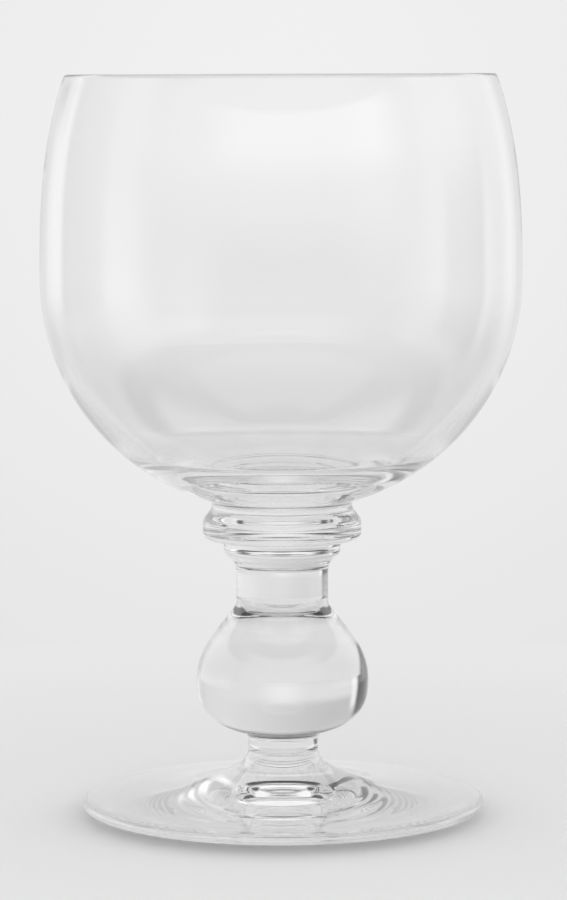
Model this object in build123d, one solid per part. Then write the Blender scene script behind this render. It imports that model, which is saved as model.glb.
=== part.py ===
from build123d import *

import os

# Water goblet of clear blown glass, stuck together hot from six gathers.
# Millimetres, +Z up. The origin is on the axis, in the plane that the foot stands on.
# Every gather is turned about Z, and two neighbours meet in a flat disc where they were fused.
# Directions of curves are in degrees: 0 points away from the axis and 90 points up.
# A pull is the share of a curve's chord that a handle reaches along at one of its ends.

# Foot: a disc of glass spread while soft, with a rounded edge, a low cone under the stem
# and a ground spot underneath
foot_diameter = 77.0
foot_edge_thickness = 1.9
foot_height = 8.2
foot_slope = 2.5
cone_diameter = 30.0
cone_bottom = 5.1
cone_bottom_slope = 22.0
cone_top_slope = 32.0
standing_ring_width = 3.0
underside_hollow = 0.8
pontil_diameter = 17.0
pontil_depth = 0.5
disc_pull = 0.64
disc_end_pull = 0.12
cone_pull = 0.23
cone_end_pull = 0.54

# Lower neck: a short solid rod that flares to the foot and to the knop
lower_neck_height = 6.6
lower_neck_diameter = 13.4
lower_neck_bottom_flare = 3.0
lower_neck_top_flare = 1.8
lower_neck_flare_slope = 55.0
foot_joint_diameter = 16.4

# Knop: a solid ball with a sloping shoulder and a flatter underside
knop_diameter = 33.0
knop_height = 23.2
knop_belly_height = 9.6
knop_shoulder_slope = 46.0
knop_underside_slope = 16.0
knop_joint_diameter = 17.4
knop_underside_pull = 0.5
knop_belly_pull = 0.38

# Upper neck: a short solid rod that flares to the knop and to the collar
upper_neck_height = 9.3
upper_neck_diameter = 17.6
upper_neck_bottom_flare = 1.8
upper_neck_top_flare = 2.5
upper_neck_flare_slope = 50.0
shoulder_joint_diameter = 19.2

# Collar: a ring of glass with a plain band, a rounded heel and a cove below it and a groove above it
collar_height = 11.0
collar_diameter = 30.3
band_bottom = 5.7
band_top = 7.5
band_underside_slope = 12.0
heel_diameter = 22.4
heel_bottom = 2.6
heel_top = 3.9
heel_foot_diameter = 20.6
heel_foot_height = 1.1
cove_slope = 30.0
collar_joint_diameter = 18.8
collar_joint_slope = 55.0

# Bowl: a blown cup, widest below the middle, with a rounded lip and a thick bottom
bowl_height = 81.7
bowl_diameter = 91.5
belly_height = 43.2
rim_diameter = 82.0
rim_lean = 19.0
lip_thickness = 1.7
belly_wall = 2.0
haunch_wall = 2.4
floor_thickness = 7.8
seat_diameter = 30.0
seat_rise = 1.2
seat_slope = 18.0
bowl_joint_diameter = 26.8
wall_pull = 0.34
floor_turn_pull = 0.2
floor_pull = 0.6

# Heights of the fused joints above the standing plane
foot_top = foot_height
knop_bottom = foot_top + lower_neck_height
knop_top = knop_bottom + knop_height
collar_bottom = knop_top + upper_neck_height
bowl_bottom = collar_bottom + collar_height
lip_top = bowl_bottom + bowl_height

# Directions that several outlines share
INWARD = 180.0
UP = 90.0
DOWN = 270.0

# Pull that gives a fair round bend
FAIR_PULL = 0.37

# Share of the way up the bowl's underside where the wall starts to thicken into the bottom
HAUNCH_PLACE = 0.3


def bow(start, start_direction, end, end_direction, start_pull=FAIR_PULL, end_pull=FAIR_PULL):
    """A smooth curve that leaves start and reaches end in the given directions."""
    start = Vector(*start)
    end = Vector(*end)
    chord = (end - start).length
    leave = Vector(1, 0).rotate(Axis.Z, start_direction) * (chord * start_pull)
    arrive = Vector(1, 0).rotate(Axis.Z, end_direction) * (chord * end_pull)
    return Bezier(start, start + leave, end - arrive, end)


def dish(outer, inner):
    """A shallow round hollow that rises from outer and is level at inner."""
    return Bezier(outer, ((outer[0] + inner[0]) / 2, inner[1]), inner)


def turned(outline):
    """The solid that a closed outline of (radius, height) points sweeps about the axis."""
    return revolve(Plane.XZ * make_face(outline), Axis.Z)


def make_foot():
    edge_radius = foot_edge_thickness / 2
    ring_outside = foot_diameter / 2 - edge_radius
    ring_inside = ring_outside - standing_ring_width
    pontil_edge = (pontil_diameter / 2, underside_hollow)
    pontil_middle = (0, underside_hollow + pontil_depth)
    cone_edge = (cone_diameter / 2, cone_bottom)
    joint_edge = (foot_joint_diameter / 2, foot_top)
    edge = CenterArc((ring_outside, edge_radius), edge_radius, -90, 180 - foot_slope)
    disc_direction = INWARD - foot_slope
    cone_direction = INWARD - cone_bottom_slope
    cone_top_direction = INWARD - cone_top_slope
    return turned([
        dish(pontil_edge, pontil_middle),
        dish((ring_inside, 0), pontil_edge),
        Line((ring_inside, 0), (ring_outside, 0)),
        edge,
        bow(edge @ 1, disc_direction, cone_edge, cone_direction, disc_pull, disc_end_pull),
        bow(cone_edge, cone_direction, joint_edge, cone_top_direction, cone_pull, cone_end_pull),
        Line(joint_edge, (0, foot_top)),
        Line((0, foot_top), pontil_middle),
    ])


def make_lower_neck():
    bottom_edge = (foot_joint_diameter / 2, foot_top)
    low_waist = (lower_neck_diameter / 2, foot_top + lower_neck_bottom_flare)
    high_waist = (lower_neck_diameter / 2, knop_bottom - lower_neck_top_flare)
    top_edge = (knop_joint_diameter / 2, knop_bottom)
    return turned([
        Line((0, foot_top), bottom_edge),
        bow(bottom_edge, INWARD - lower_neck_flare_slope, low_waist, UP),
        Line(low_waist, high_waist),
        bow(high_waist, UP, top_edge, knop_underside_slope),
        Line(top_edge, (0, knop_bottom)),
        Line((0, knop_bottom), (0, foot_top)),
    ])


def make_knop():
    bottom_edge = (knop_joint_diameter / 2, knop_bottom)
    top_edge = (shoulder_joint_diameter / 2, knop_top)
    belly = (knop_diameter / 2, knop_bottom + knop_belly_height)
    return turned([
        Line((0, knop_bottom), bottom_edge),
        bow(bottom_edge, knop_underside_slope, belly, UP, knop_underside_pull, knop_belly_pull),
        bow(belly, UP, top_edge, INWARD - knop_shoulder_slope),
        Line(top_edge, (0, knop_top)),
        Line((0, knop_top), (0, knop_bottom)),
    ])


def make_upper_neck():
    bottom_edge = (shoulder_joint_diameter / 2, knop_top)
    low_waist = (upper_neck_diameter / 2, knop_top + upper_neck_bottom_flare)
    high_waist = (upper_neck_diameter / 2, collar_bottom - upper_neck_top_flare)
    top_edge = (collar_joint_diameter / 2, collar_bottom)
    return turned([
        Line((0, knop_top), bottom_edge),
        bow(bottom_edge, INWARD - upper_neck_flare_slope, low_waist, UP),
        Line(low_waist, high_waist),
        bow(high_waist, UP, top_edge, collar_joint_slope),
        Line(top_edge, (0, collar_bottom)),
        Line((0, collar_bottom), (0, knop_top)),
    ])


def make_collar():
    bottom_edge = (collar_joint_diameter / 2, collar_bottom)
    heel_foot = (heel_foot_diameter / 2, collar_bottom + heel_foot_height)
    heel_lower_edge = (heel_diameter / 2, collar_bottom + heel_bottom)
    heel_upper_edge = (heel_diameter / 2, collar_bottom + heel_top)
    band_lower_edge = (collar_diameter / 2, collar_bottom + band_bottom)
    band_upper_edge = (collar_diameter / 2, collar_bottom + band_top)
    top_edge = (bowl_joint_diameter / 2, bowl_bottom)
    return turned([
        Line((0, collar_bottom), bottom_edge),
        bow(bottom_edge, collar_joint_slope, heel_foot, cove_slope),
        bow(heel_foot, cove_slope, heel_lower_edge, UP),
        Line(heel_lower_edge, heel_upper_edge),
        bow(heel_upper_edge, band_underside_slope, band_lower_edge, UP),
        Line(band_lower_edge, band_upper_edge),
        bow(band_upper_edge, UP, top_edge, UP),
        Line(top_edge, (0, bowl_bottom)),
        Line((0, bowl_bottom), (0, collar_bottom)),
    ])


def make_bowl():
    joint_edge = (bowl_joint_diameter / 2, bowl_bottom)
    seat = (seat_diameter / 2, bowl_bottom + seat_rise)
    belly = (bowl_diameter / 2, bowl_bottom + belly_height)
    inner_belly = (belly[0] - belly_wall, belly[1])
    floor = (0, bowl_bottom + floor_thickness)
    lip_radius = lip_thickness / 2
    lip_middle = (rim_diameter / 2 - lip_radius, lip_top - lip_radius)
    lip = CenterArc(lip_middle, lip_radius, rim_lean, 180)
    underside = bow(seat, seat_slope, belly, UP)
    haunch_tangent = underside % HAUNCH_PLACE
    haunch_normal = haunch_tangent.rotate(Axis.Z, 90)
    haunch = underside @ HAUNCH_PLACE + haunch_normal * haunch_wall
    haunch_direction = DOWN - haunch_tangent.get_angle(Vector(0, 1))
    return turned([
        Line((0, bowl_bottom), joint_edge),
        bow(joint_edge, UP, seat, seat_slope),
        underside,
        bow(belly, UP, lip @ 0, UP + rim_lean, wall_pull, wall_pull),
        lip,
        bow(lip @ 1, DOWN + rim_lean, inner_belly, DOWN, wall_pull, wall_pull),
        bow(inner_belly, DOWN, haunch, haunch_direction),
        bow(haunch, haunch_direction, floor, INWARD, floor_turn_pull, floor_pull),
        Line(floor, (0, bowl_bottom)),
    ])


os.makedirs("parts", exist_ok=True)
export_step(make_foot(), "parts/foot.step")
export_step(make_lower_neck(), "parts/lower_neck.step")
export_step(make_knop(), "parts/knop.step")
export_step(make_upper_neck(), "parts/upper_neck.step")
export_step(make_collar(), "parts/collar.step")
export_step(make_bowl(), "parts/bowl.step")
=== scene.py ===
import math

import bpy
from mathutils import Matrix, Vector


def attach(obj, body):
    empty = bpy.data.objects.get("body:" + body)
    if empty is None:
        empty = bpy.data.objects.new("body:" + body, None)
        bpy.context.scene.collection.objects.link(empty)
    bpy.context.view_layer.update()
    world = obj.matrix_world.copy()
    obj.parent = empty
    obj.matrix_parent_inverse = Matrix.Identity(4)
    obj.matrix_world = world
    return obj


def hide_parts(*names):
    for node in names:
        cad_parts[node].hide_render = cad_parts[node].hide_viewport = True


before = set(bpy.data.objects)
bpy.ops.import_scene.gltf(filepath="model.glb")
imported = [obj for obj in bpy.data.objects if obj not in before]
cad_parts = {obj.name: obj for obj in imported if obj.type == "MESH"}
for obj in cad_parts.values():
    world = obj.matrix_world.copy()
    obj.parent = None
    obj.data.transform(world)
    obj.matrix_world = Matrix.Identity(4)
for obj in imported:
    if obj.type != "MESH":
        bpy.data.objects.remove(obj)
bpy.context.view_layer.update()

# Bowl
# The cup is blown from clear glass, thin at its fire-polished lip and thick at its bottom.
# It is widest below the middle, and its underside is stuck hot to the collar.
bowl_bottom = 0.0583
lip_top = 0.14
bowl_radius = 0.04575
belly_height = 0.0432
rim_radius = 0.041
rim_lean = 19
lip_thickness = 0.0017
belly_wall = 0.002
haunch_wall = 0.0024
haunch_place = 0.3
floor_thickness = 0.0078
seat_radius = 0.015
seat_rise = 0.0012
seat_slope = 18
bowl_joint_radius = 0.0134
wall_pull = 0.34
floor_turn_pull = 0.2
floor_pull = 0.6
glass_tint = (0.99, 0.99, 0.99, 1)
glass_index = 1.5
ripple_length = 0.02
ripple_depth = 0.00001

# Directions of an outline: 0 points away from the axis and 90 points up
OUTWARD, UP, INWARD, DOWN = 0, 90, 180, 270
FAIR_PULL = 0.37
QUARTER_ROUND_PULL = 0.3905
STEPS_AROUND = 256
STEPS_ALONG = 20
SHARP_ANGLE = math.radians(35)
SAME_PLACE = 1e-6


def heading(degrees):
    return Vector((math.cos(math.radians(degrees)), math.sin(math.radians(degrees))))


def bow(start, start_direction, end, end_direction, start_pull=FAIR_PULL, end_pull=FAIR_PULL):
    """A curved stretch of an outline: its start, its two handles and its end, as (radius, height)."""
    start, end = Vector(start), Vector(end)
    reach = (end - start).length
    first = start + heading(start_direction) * reach * start_pull
    second = end - heading(end_direction) * reach * end_pull
    return start, first, second, end


def straight(start, end):
    return Vector(start), None, None, Vector(end)


def turn_on_lathe(name, outline):
    """Draws the outline as a curve beside the axis and spins it into a closed surface of revolution."""
    bpy.ops.object.select_all(action="DESELECT")
    bpy.ops.curve.primitive_bezier_curve_add(location=(0, 0, 0))
    piece = bpy.context.object
    piece.name = name
    piece.data.dimensions = "3D"
    piece.data.resolution_u = STEPS_ALONG
    spline = piece.data.splines[0]
    spline.bezier_points.add(len(outline) + 1 - len(spline.bezier_points))
    points = spline.bezier_points
    for here, there, (start, first, second, end) in zip(points[:-1], points[1:], outline):
        here.handle_right_type = there.handle_left_type = "FREE" if first else "VECTOR"
        here.co = (start.x, 0, start.y)
        there.co = (end.x, 0, end.y)
        if first:
            here.handle_right = (first.x, 0, first.y)
            there.handle_left = (second.x, 0, second.y)
    bpy.ops.object.convert(target="MESH")
    bpy.ops.object.mode_set(mode="EDIT")
    bpy.ops.mesh.select_all(action="SELECT")
    bpy.ops.mesh.spin(steps=STEPS_AROUND, angle=math.tau, center=(0, 0, 0), axis=(0, 0, 1))
    bpy.ops.mesh.select_all(action="SELECT")
    bpy.ops.mesh.remove_doubles(threshold=SAME_PLACE)
    bpy.ops.mesh.dissolve_degenerate(threshold=SAME_PLACE)
    bpy.ops.mesh.select_all(action="SELECT")
    bpy.ops.mesh.normals_make_consistent(inside=False)
    bpy.ops.object.mode_set(mode="OBJECT")
    bpy.ops.object.shade_smooth_by_angle(angle=SHARP_ANGLE)
    return piece


def clear_glass():
    """Clear glass with the faint ripple that blowing and reheating leave."""
    material = bpy.data.materials.new("clear_glass")
    material.use_nodes = True
    nodes, links = material.node_tree.nodes, material.node_tree.links
    shader = nodes["Principled BSDF"]
    shader.inputs["Base Color"].default_value = glass_tint
    shader.inputs["Roughness"].default_value = 0
    shader.inputs["IOR"].default_value = glass_index
    shader.inputs["Transmission Weight"].default_value = 1
    place = nodes.new("ShaderNodeTexCoord")
    ripple = nodes.new("ShaderNodeTexNoise")
    ripple.inputs["Scale"].default_value = 1 / ripple_length
    ripple.inputs["Detail"].default_value = 1
    bump = nodes.new("ShaderNodeBump")
    bump.inputs["Strength"].default_value = 1
    bump.inputs["Distance"].default_value = ripple_depth
    links.new(place.outputs["Object"], ripple.inputs["Vector"])
    links.new(ripple.outputs["Fac"], bump.inputs["Height"])
    links.new(bump.outputs["Normal"], shader.inputs["Normal"])
    return material


def fused_joint():
    """Where two gathers have flowed together there is no surface to see."""
    material = bpy.data.materials.new("fused_joint")
    material.use_nodes = True
    shader = material.node_tree.nodes["Principled BSDF"]
    shader.inputs["Alpha"].default_value = 0
    return material


glass = clear_glass()
joint = fused_joint()


def finish_gather(piece, node, joint_heights):
    """Gives a gather its glass, opens its joint faces and puts it in its node's place."""
    piece.data.materials.clear()
    piece.data.materials.append(glass)
    piece.data.materials.append(joint)
    for face in piece.data.polygons:
        heights = [piece.data.vertices[i].co.z for i in face.vertices]
        at_joint = any(max(abs(h - z) for h in heights) < SAME_PLACE for z in joint_heights)
        face.material_index = 1 if at_joint else 0
    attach(piece, "root")
    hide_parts(node)


belly = (bowl_radius, bowl_bottom + belly_height)
inner_belly = (bowl_radius - belly_wall, belly[1])
seat = (seat_radius, bowl_bottom + seat_rise)
bowl_joint_edge = (bowl_joint_radius, bowl_bottom)
bowl_floor = (0, bowl_bottom + floor_thickness)
lip_radius = lip_thickness / 2
lip_middle = Vector((rim_radius - lip_radius, lip_top - lip_radius))
lip_outside = lip_middle + heading(rim_lean) * lip_radius
lip_crest = lip_middle + heading(UP + rim_lean) * lip_radius
lip_inside = lip_middle + heading(INWARD + rim_lean) * lip_radius
underside = bow(seat, seat_slope, belly, UP)


def on_curve(curve, t):
    """Place and heading on a curved stretch, t of the way along it."""
    a, b, c, d = curve
    place = a * (1 - t) ** 3 + b * 3 * t * (1 - t) ** 2 + c * 3 * t ** 2 * (1 - t) + d * t ** 3
    along = (b - a) * (1 - t) ** 2 + (c - b) * 2 * t * (1 - t) + (d - c) * t ** 2
    return place, math.degrees(math.atan2(along.y, along.x))


haunch_outside, haunch_heading = on_curve(underside, haunch_place)
haunch = haunch_outside + heading(UP + haunch_heading) * haunch_wall
bowl = turn_on_lathe("blown_bowl", [
    straight((0, bowl_bottom), bowl_joint_edge),
    bow(bowl_joint_edge, UP, seat, seat_slope),
    underside,
    bow(belly, UP, lip_outside, UP + rim_lean, wall_pull, wall_pull),
    bow(lip_outside, UP + rim_lean, lip_crest, INWARD + rim_lean, QUARTER_ROUND_PULL, QUARTER_ROUND_PULL),
    bow(lip_crest, INWARD + rim_lean, lip_inside, DOWN + rim_lean, QUARTER_ROUND_PULL, QUARTER_ROUND_PULL),
    bow(lip_inside, DOWN + rim_lean, inner_belly, DOWN, wall_pull, wall_pull),
    bow(inner_belly, DOWN, haunch, INWARD + haunch_heading),
    bow(haunch, INWARD + haunch_heading, bowl_floor, INWARD, floor_turn_pull, floor_pull),
])
finish_gather(bowl, "bowl", [bowl_bottom])

# Collar
# A ring of clear glass is run round the joint between bowl and stem while it is hot.
# Below its plain band it steps in to a rounded heel, and a cove leads on to the neck.
collar_bottom = 0.0473
collar_radius = 0.01515
band_bottom = 0.0057
band_top = 0.0075
band_underside_slope = 12
heel_radius = 0.0112
heel_bottom = 0.0026
heel_top = 0.0039
heel_foot_radius = 0.0103
heel_foot_height = 0.0011
cove_slope = 30
collar_joint_radius = 0.0094
collar_joint_slope = 55

collar_joint_edge = (collar_joint_radius, collar_bottom)
heel_foot = (heel_foot_radius, collar_bottom + heel_foot_height)
heel_lower_edge = (heel_radius, collar_bottom + heel_bottom)
heel_upper_edge = (heel_radius, collar_bottom + heel_top)
band_lower_edge = (collar_radius, collar_bottom + band_bottom)
band_upper_edge = (collar_radius, collar_bottom + band_top)
collar = turn_on_lathe("stem_collar", [
    straight((0, collar_bottom), collar_joint_edge),
    bow(collar_joint_edge, collar_joint_slope, heel_foot, cove_slope),
    bow(heel_foot, cove_slope, heel_lower_edge, UP),
    straight(heel_lower_edge, heel_upper_edge),
    bow(heel_upper_edge, band_underside_slope, band_lower_edge, UP),
    straight(band_lower_edge, band_upper_edge),
    bow(band_upper_edge, UP, bowl_joint_edge, UP),
    straight(bowl_joint_edge, (0, bowl_bottom)),
])
finish_gather(collar, "collar", [collar_bottom, bowl_bottom])

# Upper neck
# A short solid rod of clear glass carries the collar.
# It flares at both ends, where it is stuck hot to the collar and to the shoulder of the knop.
knop_top = 0.038
upper_neck_radius = 0.0088
upper_neck_low_waist = 0.0018
upper_neck_high_waist = 0.0068
upper_neck_flare = 50
shoulder_joint_radius = 0.0096

shoulder_edge = (shoulder_joint_radius, knop_top)
upper_low_waist = (upper_neck_radius, knop_top + upper_neck_low_waist)
upper_high_waist = (upper_neck_radius, knop_top + upper_neck_high_waist)
upper_neck = turn_on_lathe("upper_neck_rod", [
    straight((0, knop_top), shoulder_edge),
    bow(shoulder_edge, INWARD - upper_neck_flare, upper_low_waist, UP),
    straight(upper_low_waist, upper_high_waist),
    bow(upper_high_waist, UP, collar_joint_edge, collar_joint_slope),
    straight(collar_joint_edge, (0, collar_bottom)),
])
finish_gather(upper_neck, "upper_neck", [knop_top, collar_bottom])

# Knop
# The ball in the stem is a solid gather of clear glass, rolled round while it is soft.
# Its shoulder slopes up to the upper neck, and its flat underside is stuck hot to the lower neck.
knop_bottom = 0.0148
knop_radius = 0.0165
knop_belly_height = 0.0096
knop_shoulder_slope = 52
knop_underside_slope = 16
knop_joint_radius = 0.0087
knop_underside_pull = 0.5
knop_belly_pull = 0.38

knop_joint_edge = (knop_joint_radius, knop_bottom)
knop_belly = (knop_radius, knop_bottom + knop_belly_height)
knop = turn_on_lathe("ball_knop", [
    straight((0, knop_bottom), knop_joint_edge),
    bow(knop_joint_edge, knop_underside_slope, knop_belly, UP, knop_underside_pull, knop_belly_pull),
    bow(knop_belly, UP, shoulder_edge, INWARD - knop_shoulder_slope),
    straight(shoulder_edge, (0, knop_top)),
])
finish_gather(knop, "knop", [knop_bottom, knop_top])

# Lower neck
# A shorter and slimmer rod of clear glass stands between knop and foot.
# It flares at both ends, where it is stuck hot to them.
foot_top = 0.0082
lower_neck_radius = 0.0067
lower_neck_low_waist = 0.003
lower_neck_high_waist = 0.0048
lower_neck_flare = 55
foot_joint_radius = 0.0082

foot_joint_edge = (foot_joint_radius, foot_top)
lower_low_waist = (lower_neck_radius, foot_top + lower_neck_low_waist)
lower_high_waist = (lower_neck_radius, foot_top + lower_neck_high_waist)
lower_neck = turn_on_lathe("lower_neck_rod", [
    straight((0, foot_top), foot_joint_edge),
    bow(foot_joint_edge, INWARD - lower_neck_flare, lower_low_waist, UP),
    straight(lower_low_waist, lower_high_waist),
    bow(lower_high_waist, UP, knop_joint_edge, knop_underside_slope),
    straight(knop_joint_edge, (0, knop_bottom)),
])
finish_gather(lower_neck, "lower_neck", [foot_top, knop_bottom])

# Foot
# The foot is a disc of clear glass, spread while soft, with a fire-polished round edge.
# It stands on a flat ring, and a spot is ground hollow in the middle where the iron was cracked off.
foot_radius = 0.0385
foot_edge_thickness = 0.0019
foot_slope = 2.5
standing_ring_width = 0.003
underside_hollow = 0.0008
pontil_radius = 0.0085
pontil_depth = 0.0005
cone_radius = 0.015
cone_bottom = 0.0051
cone_bottom_slope = 22
cone_top_slope = 32
disc_pull = 0.64
disc_end_pull = 0.12
cone_pull = 0.23
cone_end_pull = 0.54
DISH_PULL = 2 / 3

edge_radius = foot_edge_thickness / 2
edge_middle = Vector((foot_radius - edge_radius, edge_radius))
edge_below = edge_middle + heading(DOWN) * edge_radius
edge_outside = edge_middle + heading(OUTWARD) * edge_radius
edge_above = edge_middle + heading(UP - foot_slope) * edge_radius
ring_inside = (edge_middle.x - standing_ring_width, 0)
cone_edge = (cone_radius, cone_bottom)
pontil_edge = (pontil_radius, underside_hollow)
pontil_middle = (0, underside_hollow + pontil_depth)


def dish(inner, outer):
    """A shallow round hollow, level at its inner end."""
    inner, outer = Vector(inner), Vector(outer)
    control = Vector(((inner.x + outer.x) / 2, inner.y))
    return inner, inner.lerp(control, DISH_PULL), outer.lerp(control, DISH_PULL), outer


foot = turn_on_lathe("spread_foot", [
    dish(pontil_middle, pontil_edge),
    dish(pontil_edge, ring_inside),
    straight(ring_inside, edge_below),
    bow(edge_below, OUTWARD, edge_outside, UP, QUARTER_ROUND_PULL, QUARTER_ROUND_PULL),
    bow(edge_outside, UP, edge_above, INWARD - foot_slope, QUARTER_ROUND_PULL, QUARTER_ROUND_PULL),
    bow(edge_above, INWARD - foot_slope, cone_edge, INWARD - cone_bottom_slope, disc_pull, disc_end_pull),
    bow(cone_edge, INWARD - cone_bottom_slope, foot_joint_edge, INWARD - cone_top_slope,
        cone_pull, cone_end_pull),
    straight(foot_joint_edge, (0, foot_top)),
])
finish_gather(foot, "foot", [foot_top])

# Paper floor
# A round sheet of pale paper lies just under the foot's standing plane and takes a soft shadow.
# Away from the goblet it shades off into the tone of the backdrop, so that no horizon shows.
# Seen through the glass, much of it is replaced by a painted tone: painted light near the foot that lifts
# the foot's shadow, painted shade further out, and a nearly black painted reflection of the dark window
# towards the left.
paper_grey = 0.8
paper_roughness = 0.9
paper_gloss = 0
paper_radius = 0.22
paper_full_radius = 0.12
paper_far_level = 0.805
paper_near_radius, paper_away_radius = 0.05, 0.1
# Painted tones of the paper seen through the glass: painted light near the foot, which lifts its shadow,
# and painted shade further out
paper_painted_near_level, paper_painted_away_level = 0.78, 0.7
paper_painted_share = 0.65
paper_painted_window_radius = 0.06
paper_drop = 0.0018
paper_sides = 192
# The dark window in the studio; the same span and tone are painted on the paper as a painted reflection of
# it
window_left, window_right, window_soft = -85, -49, 4
window_and_painted_window_level = 0.06

# Light that only goes into one gather and out again turns twice
MORE_THAN_IN_AND_OUT = 2.5
SQUARED = 2

bpy.ops.object.select_all(action="DESELECT")
bpy.ops.mesh.primitive_circle_add(
    vertices=paper_sides, radius=paper_radius, fill_type="NGON", location=(0, 0, -paper_drop))
paper = bpy.context.object
paper.name = "paper_floor"
paper_material = bpy.data.materials.new("pale_paper")
paper_material.use_nodes = True
paper_tree = paper_material.node_tree
paper_shader = paper_tree.nodes["Principled BSDF"]
paper_shader.inputs["Base Color"].default_value = (paper_grey, paper_grey, paper_grey, 1)
paper_shader.inputs["Roughness"].default_value = paper_roughness
paper_shader.inputs["Specular IOR Level"].default_value = paper_gloss


def join_up(tree, value, socket):
    """Sets a socket to a number, or links it to another node's output."""
    if isinstance(value, (int, float)):
        socket.default_value = value
    else:
        tree.links.new(value, socket)


def reckon(tree, operation, first, second=0, third=0):
    """One step of arithmetic on numbers or on other nodes' outputs."""
    node = tree.nodes.new("ShaderNodeMath")
    node.operation = operation
    join_up(tree, first, node.inputs[0])
    join_up(tree, second, node.inputs[1])
    join_up(tree, third, node.inputs[2])
    return node.outputs[0]


def ramp(tree, value, start, end, low=0, high=1):
    """Goes smoothly from low to high while the value goes from start to end."""
    node = tree.nodes.new("ShaderNodeMapRange")
    node.interpolation_type = "SMOOTHSTEP"
    join_up(tree, value, node.inputs["Value"])
    node.inputs["From Min"].default_value = start
    node.inputs["From Max"].default_value = end
    node.inputs["To Min"].default_value = low
    node.inputs["To Max"].default_value = high
    return node.outputs["Result"]


def blend(tree, share, below, above):
    """Two tones, the upper one covering the given share of the lower."""
    node = tree.nodes.new("ShaderNodeMix")
    join_up(tree, share, node.inputs["Factor"])
    join_up(tree, below, node.inputs["A"])
    join_up(tree, above, node.inputs["B"])
    return node.outputs["Result"]


def between(tree, value, start, end, soft):
    """Is 1 between start and end and goes softly to 0 outside them."""
    after_start = ramp(tree, value, start - soft, start + soft)
    before_end = ramp(tree, value, end - soft, end + soft, 1, 0)
    return both(tree, after_start, before_end)


def both(tree, first, second):
    """Is 1 only where both shares are."""
    return reckon(tree, "MULTIPLY", first, second)


def diagonal(tree, x, y):
    """How far a place that lies x one way and y the other is from the middle."""
    squares = reckon(tree, "ADD", reckon(tree, "POWER", x, SQUARED), reckon(tree, "POWER", y, SQUARED))
    return reckon(tree, "SQRT", squares)


def compass(tree, x, y):
    """Azimuth in degrees: 0 behind the goblet, 90 on its right and 180 behind the camera."""
    return reckon(tree, "DEGREES", reckon(tree, "ARCTAN2", x, y))


def glowing(tree, level):
    """A surface that shows an even tone, whatever light falls on it."""
    shader = tree.nodes.new("ShaderNodeEmission")
    join_up(tree, level, shader.inputs["Strength"])
    return shader.outputs["Emission"]


def overlay(tree, share, below, above):
    """Two finishes of one surface, the upper one covering the given share of the lower."""
    node = tree.nodes.new("ShaderNodeMixShader")
    join_up(tree, share, node.inputs["Fac"])
    tree.links.new(below, node.inputs[1])
    tree.links.new(above, node.inputs[2])
    return node.outputs["Shader"]


paper_place = paper_tree.nodes.new("ShaderNodeSeparateXYZ")
paper_tree.links.new(paper_tree.nodes.new("ShaderNodeTexCoord").outputs["Object"], paper_place.inputs[0])
paper_x, paper_y = paper_place.outputs["X"], paper_place.outputs["Y"]
distance = diagonal(paper_tree, paper_x, paper_y)
far = ramp(paper_tree, distance, paper_full_radius, paper_radius)
paper_look = overlay(paper_tree, far, paper_shader.outputs["BSDF"], glowing(paper_tree, paper_far_level))

paper_ray = paper_tree.nodes.new("ShaderNodeLightPath").outputs
paper_azimuth = compass(paper_tree, paper_x, paper_y)
# Painted shade: seen through the glass, the paper at the window's azimuths is painted nearly black as a
# reflection of the dark window
painted_window_span = between(paper_tree, paper_azimuth, window_left, window_right, window_soft)
clear_of_foot = ramp(paper_tree, distance, paper_near_radius, paper_painted_window_radius)
in_and_out = reckon(paper_tree, "LESS_THAN", paper_ray["Ray Depth"], MORE_THAN_IN_AND_OUT)
painted_window_shade = both(paper_tree, both(paper_tree, painted_window_span, clear_of_foot), in_and_out)
# Painted tone seen through the glass: painted light near the foot, painted shade further out, and a nearly
# black painted reflection of the window on the left
painted_through_tone = ramp(
    paper_tree, distance, paper_near_radius, paper_away_radius, paper_painted_near_level, paper_painted_away_level)
painted_through_tone = blend(paper_tree, painted_window_shade, painted_through_tone, window_and_painted_window_level)
painted_through_share = blend(paper_tree, painted_window_shade, paper_painted_share, 1)
painted_through_share = both(paper_tree, paper_ray["Is Transmission Ray"], painted_through_share)
paper_look = overlay(paper_tree, painted_through_share, paper_look, glowing(paper_tree, painted_through_tone))
paper_tree.links.new(paper_look, paper_tree.nodes["Material Output"].inputs["Surface"])
paper.data.materials.append(paper_material)

# Studio
# A pale backdrop with a soft glow stands all round, and it is all that the camera sees of the room.
# The glass also shows soft lights on both sides, a ceiling and the dark parts of the room.
# The paper is lit from overhead and from the back.
backdrop_level = 0.765
glow_level = 0.875
glow_spread = 14
glow_elevation = -0.8
dark_level = 0.05

# Seen through the glass. Places in the studio are in degrees of azimuth and elevation.
wall_start, wall_end = 2, 8
left_wall_azimuth, right_wall_azimuth = -32, 40
left_wall_level, right_wall_level = 0.56, 0.77
wall_turn_start, wall_turn_end, wall_turn_level = 60, 120, 0.66
shade_bottom, shade_top, shade_soft = -14, -6, 3
shade_share = 0.5
room_azimuth = -165
room_half_width, room_soft = 50, 15
room_floor_start, room_floor_end = -7, -1
room_low_level = 0.1
room_dark_start, room_dark_end = 8, 16
window_bottom, window_top = -9, 20
upper_dark_start, upper_dark_end = 24, 32
ceiling_bottom, ceiling_top, ceiling_soft = 42, 77, 4
beam_start, beam_end, beam_soft = 68, 112, 8
ceiling_level = 1
ground_start, ground_end, ground_level = -18, -10, 1.5
softbox_left, softbox_right, softbox_bottom, softbox_top, softbox_soft = 72, 104, -4, 28, 10
softbox_level = 1.3
strip_left, strip_right, strip_bottom, strip_top, strip_soft = -48, -42, -6, 12, 3
strip_level = 0.95

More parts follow.
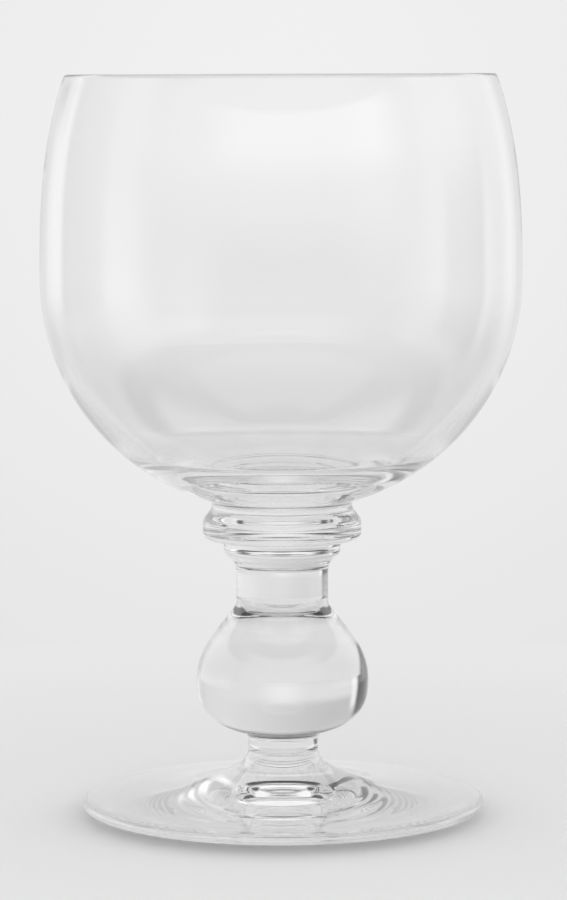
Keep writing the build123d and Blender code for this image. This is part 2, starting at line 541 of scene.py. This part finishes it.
# Mirrored in the glass
front_edge, front_full = 95, 150
front_foot, front_head = -12, 4
front_start, front_end = 0, 16
front_low_level, front_level = 0.9, 2
front_top_start, front_top_end = 30, 35
lip_top_start, lip_top_end = 42, 50
side_start, side_end, side_bottom, side_top, side_soft = 35, 110, -10, 40, 10
side_level = 1.6

# Light that has turned many times inside the glass, by its number of turns
plain_depth_start, plain_depth_end = 9, 16
plain_level, plain_side_level = 0.8, 0.42
plain_side_start, plain_side_end, plain_side_soft = 20, 160, 15

# Falling on the paper
top_light = 0.79
back_light = 2.05
back_light_azimuth = 20
back_light_full, back_light_end = 60, 120
back_light_top_start, back_light_top_end = 25, 45

HALF_TURN = 180
ONCE_OR_MORE = 0.5

world = bpy.data.worlds.new("studio")
bpy.context.scene.world = world
world.use_nodes = True
studio = world.node_tree


def panel(left, right, bottom, top, soft):
    """A soft-edged patch of the studio between two azimuths and two elevations."""
    across = between(studio, azimuth, left, right, soft)
    return both(studio, across, between(studio, elevation, bottom, top, soft))


def away_from(heading_azimuth):
    """How far a direction lies to either side of the given azimuth."""
    turn = reckon(studio, "SUBTRACT", azimuth, heading_azimuth)
    return reckon(studio, "ABSOLUTE", reckon(studio, "WRAP", turn, HALF_TURN, -HALF_TURN))


direction = studio.nodes.new("ShaderNodeTexCoord").outputs["Generated"]
parts = studio.nodes.new("ShaderNodeSeparateXYZ")
studio.links.new(direction, parts.inputs[0])
azimuth = compass(studio, parts.outputs["X"], parts.outputs["Y"])
elevation = reckon(studio, "DEGREES", reckon(studio, "ARCSINE", parts.outputs["Z"]))
aside = reckon(studio, "ABSOLUTE", azimuth)

glow_rise = reckon(studio, "SUBTRACT", elevation, glow_elevation)
glow_angle = diagonal(studio, glow_rise, aside)
backdrop = ramp(studio, glow_angle, 0, glow_spread, glow_level, backdrop_level)

wall = ramp(studio, azimuth, left_wall_azimuth, right_wall_azimuth, left_wall_level, right_wall_level)
wall = blend(studio, ramp(studio, aside, wall_turn_start, wall_turn_end), wall, wall_turn_level)
shade = both(studio, between(studio, elevation, shade_bottom, shade_top, shade_soft), shade_share)
seen = blend(studio, shade, backdrop, wall)
seen = blend(studio, ramp(studio, elevation, wall_start, wall_end), seen, wall)
room_inner, room_outer = room_half_width - room_soft, room_half_width + room_soft
room = ramp(studio, away_from(room_azimuth), room_inner, room_outer, 1, 0)
room_low = both(studio, room, ramp(studio, elevation, room_floor_start, room_floor_end))
seen = blend(studio, room_low, seen, room_low_level)
room_high = both(studio, room, ramp(studio, elevation, room_dark_start, room_dark_end))
seen = blend(studio, room_high, seen, dark_level)
window = panel(window_left, window_right, window_bottom, window_top, window_soft)
seen = blend(studio, window, seen, window_and_painted_window_level)
seen = blend(studio, ramp(studio, elevation, upper_dark_start, upper_dark_end), seen, dark_level)
beside_beam = reckon(studio, "SUBTRACT", 1, between(studio, aside, beam_start, beam_end, beam_soft))
ceiling = both(studio, between(studio, elevation, ceiling_bottom, ceiling_top, ceiling_soft), beside_beam)
seen = blend(studio, ceiling, seen, ceiling_level)
ground = both(studio, room, ramp(studio, elevation, ground_start, ground_end, 1, 0))
seen = blend(studio, ground, seen, ground_level)
softbox = panel(softbox_left, softbox_right, softbox_bottom, softbox_top, softbox_soft)
seen = blend(studio, softbox, seen, softbox_level)
strip = panel(strip_left, strip_right, strip_bottom, strip_top, strip_soft)
through_glass = blend(studio, strip, seen, strip_level)

at_sides = between(studio, aside, side_start, side_end, side_soft)
sides = both(studio, at_sides, between(studio, elevation, side_bottom, side_top, side_soft))
mirrored = blend(studio, sides, backdrop, side_level)
in_front = ramp(studio, aside, front_edge, front_full)
front = both(studio, in_front, ramp(studio, elevation, front_foot, front_head))
front_tone = ramp(studio, elevation, front_start, front_end, front_low_level, front_level)
mirrored = blend(studio, front, mirrored, front_tone)
above_front = ramp(studio, elevation, front_top_start, front_top_end)
mirrored_inside = blend(studio, above_front, mirrored, dark_level)
mirrored_inside = blend(studio, softbox, mirrored_inside, softbox_level)
front_to_lip = both(studio, front, ramp(studio, elevation, lip_top_start, lip_top_end, 1, 0))
mirrored_outside = blend(studio, front_to_lip, mirrored_inside, front_tone)

low_light = ramp(studio, away_from(back_light_azimuth), back_light_full, back_light_end, back_light, 0)
overhead = ramp(studio, elevation, back_light_top_start, back_light_top_end)
paper_light = blend(studio, overhead, low_light, top_light)

ray = studio.nodes.new("ShaderNodeLightPath").outputs
inside = reckon(studio, "GREATER_THAN", ray["Transmission Depth"], ONCE_OR_MORE)
mirrored = blend(studio, inside, mirrored_outside, mirrored_inside)
in_glass = blend(studio, ray["Is Transmission Ray"], mirrored, through_glass)
plain_side = between(studio, aside, plain_side_start, plain_side_end, plain_side_soft)
plain = blend(studio, plain_side, plain_level, plain_side_level)
many_turns = ramp(studio, ray["Ray Depth"], plain_depth_start, plain_depth_end)
in_glass = blend(studio, many_turns, in_glass, plain)
on_paper = reckon(studio, "GREATER_THAN", ray["Diffuse Depth"], ONCE_OR_MORE)
indirect = blend(studio, on_paper, in_glass, paper_light)
level = blend(studio, ray["Is Camera Ray"], indirect, backdrop)
join_up(studio, level, studio.nodes["Background"].inputs["Strength"])
studio.nodes["Background"].inputs["Color"].default_value = (1, 1, 1, 1)

# Camera
# It stands level with the rim, so that the rim is seen edge on and the foot from a little above.
# Light turns many times inside the glass before it leaves, so the limits on its turns are high.
camera_aside = 0.0006
camera_distance = 0.6941
camera_height = lip_top
camera_level = 90
camera_tilt = 5.87
camera_roll = 0.22
camera_lens = 146.4
light_bounces = 160

bpy.ops.object.camera_add(
    location=(camera_aside, -camera_distance, camera_height),
    rotation=(math.radians(camera_level - camera_tilt), math.radians(camera_roll), 0))
camera = bpy.context.object
camera.data.lens = camera_lens
scene = bpy.context.scene
scene.camera = camera
scene.view_settings.view_transform = "Standard"
scene.cycles.max_bounces = light_bounces
scene.cycles.transmission_bounces = light_bounces
scene.cycles.glossy_bounces = light_bounces
scene.cycles.transparent_max_bounces = light_bounces
